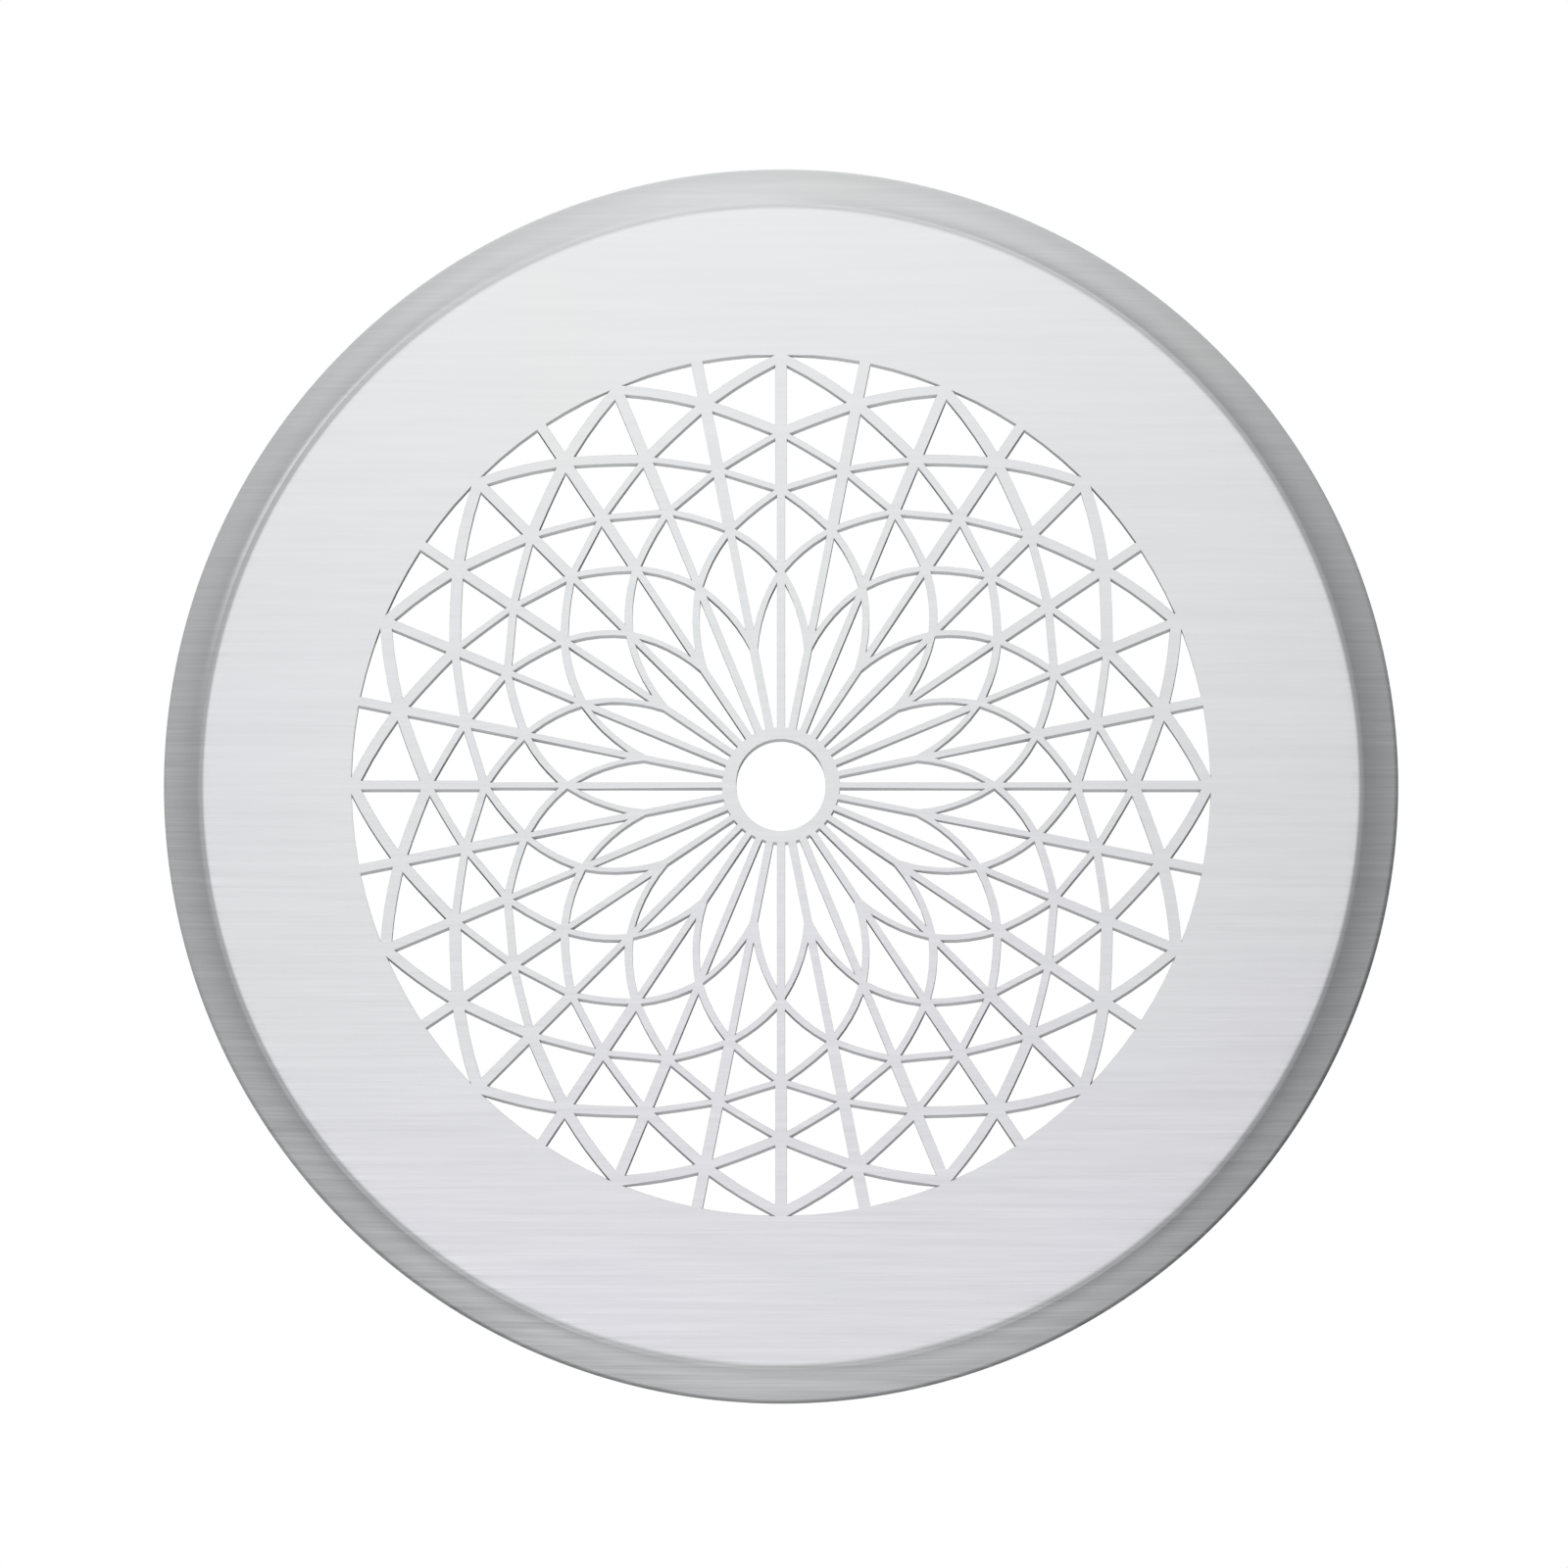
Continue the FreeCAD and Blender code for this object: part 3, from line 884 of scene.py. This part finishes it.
# low rippled bead along an upright joint, half sunk in the wall
def weldSeam(settings, name, low, high, width):
    ripples = max(int((high - low) / settings["ripple"]), 2)
    step = (high - low) / ripples
    outline = [(width * settings["endShare"], low)]
    for ripple in range(ripples):
        for along, share in settings["profile"]:
            outline.append((width * share, low + step * (ripple + along)))
    outline.append((width * settings["endShare"], high))
    bead = turnedPiece(name, outline, settings["segments"], closed=False)
    bead.data.transform(Matrix.Diagonal((settings["height"], 1.0, 1.0, 1.0)))
    return bead


# flat ring with holes, and the fillet of weld that joins it to its sleeve
def weldedFlange(settings, name):
    radius, low = settings["radius"], settings["bottom"]
    high = low + settings["sheet"]
    outline = ringOutline(radius, settings["flangeRadius"], low, high)
    piece = turnedPiece(name, outline)
    drillHoles(piece, settings["hole"], low, high, settings["holeCircle"], settings["holePlaces"])
    easeCorners(piece, settings["easedEdge"])
    leg, out, up = settings["fillet"]
    fillet = turnedPiece(name + "Fillet", [
        (radius, high), (radius + leg, high), (radius + out, high + up), (radius, high + leg)])
    return joinPieces([piece, fillet])


# Collar

collarSettings = {
    "radius": 75.5 * mm,
    "sheet": 0.8 * mm,
    "flangeRadius": 87.5 * mm,
    "bottom": -8.0 * mm,
    "top": 40.0 * mm,
    "leadHeight": 3.0 * mm,
    "leadIn": 0.7 * mm,
    "slotWidth": 12.6 * mm,
    "slotBottom": 4.9 * mm,
    "slotTop": 6.0 * mm,
    "slotCut": 4.0 * mm,  # how far the cut reaches on both sides of the wall
    "slotPlaces": studPlaces,
    "hole": 2.4 * mm,
    "holeCircle": 83.0 * mm,
    "holePlaces": studPlaces,
    "fillet": (0.9 * mm, 0.55 * mm, 0.45 * mm),  # its legs, and how far out and up its middle is
    "easedEdge": 0.12 * mm,
    "seamWidth": 0.9 * mm,
    "seamGaps": (1.2 * mm, 0.5 * mm),  # left free below and above it
    "seamAngle": 22.5,
}


def rearCollar(settings, material):
    radius, bottom, top = settings["radius"], settings["bottom"], settings["top"]
    straightTop = top - settings["leadHeight"]
    path = [(radius, bottom), (radius, straightTop), (radius - settings["leadIn"], top)]
    outline = wallOutline(path, settings["sheet"])
    piece = turnedPiece("rolledCollar", outline)
    half, cut = settings["slotWidth"] / 2, settings["slotCut"]
    for turn in settings["slotPlaces"]:
        cutWith(piece, blockTool((radius - cut, -half, settings["slotBottom"]),
                                 (radius + cut, half, settings["slotTop"]), turn))
    easeCorners(piece, settings["easedEdge"])
    below, above = settings["seamGaps"]
    seam = weldSeam(seamSettings, "collarSeam", bottom + below, straightTop - above,
                    settings["seamWidth"])
    movePiece(seam, radius, settings["seamAngle"])
    piece = joinPieces([piece, seam])
    coatPiece(piece, material)
    finishPiece(piece, "face", "rear_collar")


def collarFlange(settings, material):
    piece = weldedFlange(settings, "collarFlange")
    coatPiece(piece, material)
    finishPiece(piece, "face", "collar_flange")


# Studs, washers and nuts

studSettings = {
    "circle": 83.0 * mm,
    "places": studPlaces,
    "bottom": -8.0 * mm,
    "baseRadius": 2.1 * mm,
    "baseHeight": 0.6 * mm,
    "baseChamfer": 0.25 * mm,
    "foot": (0.12 * mm, 0.15 * mm),  # fillet between base and shank, out and up
    "crest": 1.5 * mm,
    "root": 1.24 * mm,
    "sunk": 0.05 * mm,  # how deep the ridge is sunk in the shank
    "pitch": 0.5 * mm,
    "threadGaps": (0.1 * mm, 0.35 * mm),  # left free below and above the thread
    "threadSteps": 28,
    "top": -4.1 * mm,
    "topChamfer": 0.3 * mm,
    "hole": 1.55 * mm,  # of the washer and the nut
    "washerBottom": -7.2 * mm,
    "washerRadius": 3.4 * mm,
    "washerSheet": 0.5 * mm,
    "washerRounding": 0.12 * mm,
    "nutFlats": 5.5 * mm,
    "nutHeight": 1.8 * mm,
    "nutChamfer": 0.28 * mm,
    "nutFace": 0.97,  # width of its round end faces, as a share of the flats
    "nutEdge": 0.05 * mm,
    "spare": 0.02 * mm,  # what the chamfering cone has more than the corners
}


def weldStud(settings, material):
    bottom, top, base = settings["bottom"], settings["top"], settings["baseRadius"]
    root, chamfer, topChamfer = settings["root"], settings["baseChamfer"], settings["topChamfer"]
    footOut, footUp = settings["foot"]
    baseTop = bottom + settings["baseHeight"]
    outline = [(base, bottom), (base, baseTop - chamfer), (base - chamfer, baseTop),
               (root + footOut, baseTop), (root, baseTop + footUp), (root, top - topChamfer),
               (root - topChamfer, top)]
    stud = turnedPiece("studBlank", outline, 32, closed=False)
    below, above = settings["threadGaps"]
    turns = int((top - above - baseTop) / settings["pitch"]) - 1
    ridge = threadRidge("studThread", root - settings["sunk"], settings["crest"],
                        settings["pitch"], baseTop + below, turns, settings["threadSteps"])
    finishCopies(joinPieces([stud, ridge]), "weldStud", settings, material,
                 "face", "weld_studs")


def studWasher(settings, material):
    bottom = settings["washerBottom"]
    outline = ringOutline(settings["hole"], settings["washerRadius"], bottom,
                          bottom + settings["washerSheet"])
    outline = softened(outline, settings["washerRounding"], 2)
    washer = turnedPiece("washerBlank", outline, 48)
    finishCopies(washer, "studWasher", settings, material,
                 "face", "stud_washers", 50)


def studNut(settings, material):
    bottom = settings["washerBottom"] + settings["washerSheet"]
    top = bottom + settings["nutHeight"]
    half = settings["nutFlats"] / 2
    corner = half / math.cos(math.radians(30))
    nut = roundTool(corner, bottom, top, vertices=6)
    nut.name = "nutBlank"
    movePiece(nut, turn=30)
    inner, outer = half * settings["nutFace"], corner + settings["spare"]
    chamfer = settings["nutChamfer"]
    cone = turnedPiece("nutCone", [(inner, bottom), (outer, bottom + chamfer),
                                   (outer, top - chamfer), (inner, top)], 48, closed=False)
    cutWith(nut, cone, "INTERSECT")
    cutWith(nut, roundTool(settings["hole"], bottom - mm, top + mm))
    easeCorners(nut, settings["nutEdge"], angle=25)
    finishCopies(nut, "studNut", settings, material, "face", "stud_nuts")


# Spring clips

clipSettings = {
    "easedEdge": 0.08 * mm,
    "count": 4,
}


def springClips(settings, material):
    for number in range(1, settings["count"] + 1):
        node = "spring_clip_" + str(number)
        piece = sewnCopy(node, "springClip" + str(number))
        easeCorners(piece, settings["easedEdge"], angle=60)
        coatPiece(piece, material)
        finishPiece(piece, "clip_" + str(number), node)


# Gaskets and seal

frontGasketSettings = {
    "inner": 88.1 * mm,
    "outer": 91.1 * mm,
    "bottom": -8.0 * mm,
    "top": -3.1 * mm,
    "shoulder": 1.9 * mm,  # height of its rounded top
    "steps": 12,
    "fill": 0.9,
}
ceilingGasketSettings = {
    "inner": 82.7 * mm,
    "outer": 92.0 * mm,
    "bottom": -2.0 * mm,
    "top": 0.0,
    "bulge": 0.25 * mm,  # how far the pressed foam stands out between its edges
    "rounding": 0.5 * mm,
    "hole": 2.3 * mm,
    "circle": 84.0 * mm,
    "places": screwPlaces,
    "fill": 0.9,
}
sealSettings = {
    "inner": 79.5 * mm,
    "band": 0.9 * mm,
    "bottom": 22.4 * mm,
    "height": 12.0 * mm,
    "lipTops": (33.8 * mm, 28.4 * mm),
    "lipReach": 1.9 * mm,
    "lipDrop": 2.2 * mm,
    "lipThickness": 0.9 * mm,
    "lipHollow": 0.45,  # how far its lower side drops, as a share of its upper side
    "tipTop": (0.15 * mm, 0.20 * mm),  # the blunt tip's corners, in from it and up or down
    "tipBottom": (0.30 * mm, 0.05 * mm),
    "rounding": 0.3 * mm,
    "fill": 1.0,
}


def finishPadded(piece, material, body, node):
    coatPiece(piece, material, 50)
    finishPiece(piece, body, node)


def frontGasket(settings, material):
    inner, outer, bottom, top = [settings[key] for key in ("inner", "outer", "bottom", "top")]
    middle, half, shoulder = (inner + outer) / 2, (outer - inner) / 2, settings["shoulder"]
    outline = [(inner, bottom), (outer, bottom)]
    for step in range(settings["steps"] + 1):
        angle = math.pi * step / settings["steps"]
        outline.append((middle + half * math.cos(angle),
                        top - shoulder + shoulder * math.sin(angle)))
    piece = turnedPiece("frontGasket", outline)
    finishPadded(piece, material, "face", "front_gasket")


def ceilingGasket(settings, material):
    inner, outer, bottom, top = [settings[key] for key in ("inner", "outer", "bottom", "top")]
    middle, bulge = (bottom + top) / 2, settings["bulge"]
    outline = softened([
        (inner + bulge, bottom), (outer - bulge, bottom), (outer, middle), (outer - bulge, top),
        (inner + bulge, top), (inner, middle)], settings["rounding"])
    piece = turnedPiece("ceilingGasket", outline)
    drillHoles(piece, settings["hole"], bottom, top, settings["circle"], settings["places"])
    finishPadded(piece, material, "ring", "ceiling_gasket")


def ductSeal(settings, material):
    inner, bottom = settings["inner"], settings["bottom"]
    band, top = inner + settings["band"], bottom + settings["height"]
    tip, drop, thick = band + settings["lipReach"], settings["lipDrop"], settings["lipThickness"]
    topIn, topUp = settings["tipTop"]
    bottomIn, bottomDown = settings["tipBottom"]
    corners = [(inner, bottom), (inner, top), (band, top)]
    for root in settings["lipTops"]:
        low = root - drop
        corners += [(band, root), (tip - topIn, low + topUp), (tip, low),
                    (tip - bottomIn, low - bottomDown),
                    (band, root - thick - drop * settings["lipHollow"])]
    corners.append((band, bottom))
    outline = softened(corners[::-1], settings["rounding"], 3)
    piece = turnedPiece("ductSeal", outline)
    finishPadded(piece, material, "ring", "duct_seal")


# Mounting flange and spigot

ringSettings = {
    "radius": 79.5 * mm,
    "sheet": 0.8 * mm,
    "flangeRadius": 92.0 * mm,
    "bottom": -2.8 * mm,
    "top": 60.0 * mm,
    "leadHeight": 3.0 * mm,
    "leadIn": 0.7 * mm,
    "ribFeet": (20.0 * mm, 34.4 * mm),
    "ribHeight": 2.4 * mm,
    "ribRise": 0.9 * mm,
    "ribHollow": 1.4,  # above one, its feet run out softly
    "ribSteps": 8,
    "hole": 2.3 * mm,
    "holeCircle": 84.0 * mm,
    "holePlaces": screwPlaces,
    "fillet": (1.1 * mm, 0.7 * mm, 0.5 * mm),
    "easedEdge": 0.12 * mm,
    "seamWidth": 1.2 * mm,
    "seamBottom": 0.5 * mm,
    "seamGap": 0.6 * mm,  # left free next to a rib
    "seamTopGap": 0.5 * mm,
    "seamAngle": 112.5,
}


def mountingFlange(settings, material):
    piece = weldedFlange(settings, "mountingFlange")
    coatPiece(piece, material)
    finishPiece(piece, "ring", "mounting_flange")


def spigot(settings, material):
    radius, bottom, top = settings["radius"], settings["bottom"], settings["top"]
    straightTop, steps = top - settings["leadHeight"], settings["ribSteps"]
    path = [(radius, bottom)]
    for foot in settings["ribFeet"]:
        for step in range(steps + 1):
            share = step / steps
            rise = math.sin(math.pi * share) ** settings["ribHollow"] * settings["ribRise"]
            path.append((radius + rise, foot + settings["ribHeight"] * share))
    path += [(radius, straightTop), (radius - settings["leadIn"], top)]
    outline = wallOutline(path, settings["sheet"])
    piece = turnedPiece("ductSpigot", outline)
    easeCorners(piece, settings["easedEdge"], angle=60)
    low, high = settings["ribFeet"][0], settings["ribFeet"][1] + settings["ribHeight"]
    gap, width = settings["seamGap"], settings["seamWidth"]
    seams = [weldSeam(seamSettings, "lowerSeam", settings["seamBottom"], low - gap, width),
             weldSeam(seamSettings, "upperSeam", high + gap,
                      straightTop - settings["seamTopGap"], width)]
    for seam in seams:
        movePiece(seam, radius, settings["seamAngle"])
    piece = joinPieces([piece] + seams)
    coatPiece(piece, material, 40)
    finishPiece(piece, "ring", "spigot")


# Fixing screws

screwSettings = {
    "circle": 84.0 * mm,
    "places": screwPlaces,
    "headRadius": 3.5 * mm,
    "headTop": -2.8 * mm,  # the side that lies on the flange
    "headHeight": 2.2 * mm,
    "headEdge": 0.15 * mm,
    "skirt": 1.1 * mm,
    "domeSteps": 7,
    "domeEnd": 0.08,  # radius of the dome's flat, as a share of the head's
    "root": 1.45 * mm,
    "crest": 2.0 * mm,
    "sunk": 0.1 * mm,
    "pitch": 1.8 * mm,
    "threadLow": 0.3 * mm,
    "threadTurns": 12,
    "threadSteps": 24,
    "taperLow": 22.0 * mm,
    "taper": 0.95,  # how much the thread narrows along the point
    "tip": 26.0 * mm,
    "tipRadius": 0.25 * mm,
    "recessReach": 1.9 * mm,
    "recessWidth": 0.45 * mm,  # half the width of the cross
    "recessDepth": 1.3 * mm,
    "segments": 40,
}


def fixingScrew(settings, material):
    headTop, low = settings["headTop"], settings["headTop"] - settings["headHeight"]
    root, head, skirt = settings["root"], settings["headRadius"], settings["skirt"]
    edge, dome, steps = settings["headEdge"], settings["headHeight"] - skirt, settings["domeSteps"]
    taperLow, tip = settings["taperLow"], settings["tip"]
    outline = [(settings["tipRadius"], tip), (root, taperLow), (root, headTop),
               (head - edge, headTop), (head, headTop - edge), (head, headTop - skirt)]
    for step in range(1, steps):
        angle = math.pi / 2 * step / steps
        outline.append((head * math.cos(angle), headTop - skirt - dome * math.sin(angle)))
    outline.append((head * settings["domeEnd"], low))
    screw = turnedPiece("screwBlank", outline, settings["segments"], closed=False)
    reach, width, depth = [settings["recess" + part] for part in ("Reach", "Width", "Depth")]
    for side, across in ((reach, width), (width, reach)):
        cutWith(screw, blockTool((-side, -across, low - mm), (side, across, low + depth)))
    ridge = threadRidge("screwThread", root - settings["sunk"], settings["crest"],
                        settings["pitch"], settings["threadLow"], settings["threadTurns"],
                        settings["threadSteps"])
    for vert in ridge.data.vertices:
        past = (vert.co.z - taperLow) / (tip - taperLow)
        vert.co.xy *= 1 - max(past, 0) * settings["taper"]
    finishCopies(joinPieces([screw, ridge]), "fixingScrew", settings, material,
                 "ring", "fixing_screws", 30)


makeCamera(cameraSettings)
makeRoom(studioSettings)
makeFloor(studioSettings)
makeLamp(lampSettings)
print("studio ready")

brushed = brushedSteel(brushedSettings)
cut = cutEdge(cutEdgeSettings)
mill = millSteel(millSettings)
zinc = zincPlate(zincSettings)
turnedSteel = brightSteel(brightSettings)
springSteel = springStrip(springSettings)
galvanised = galvanisedSheet(galvanisedSettings)
foam = closedFoam(foamSettings)
rubber = sealRubber(rubberSettings)
print("materials ready")

facePlate(facePlateSettings, brushed, cut, mill)
print("face plate ready")
rearCollar(collarSettings, mill)
collarFlange(collarSettings, mill)
weldStud(studSettings, turnedSteel)
studWasher(studSettings, zinc)
studNut(studSettings, zinc)
frontGasket(frontGasketSettings, foam)
springClips(clipSettings, springSteel)
print("collar and its fastenings ready")
mountingFlange(ringSettings, galvanised)
spigot(ringSettings, galvanised)
ceilingGasket(ceilingGasketSettings, foam)
ductSeal(sealSettings, rubber)
fixingScrew(screwSettings, zinc)
print("mounting ring ready")
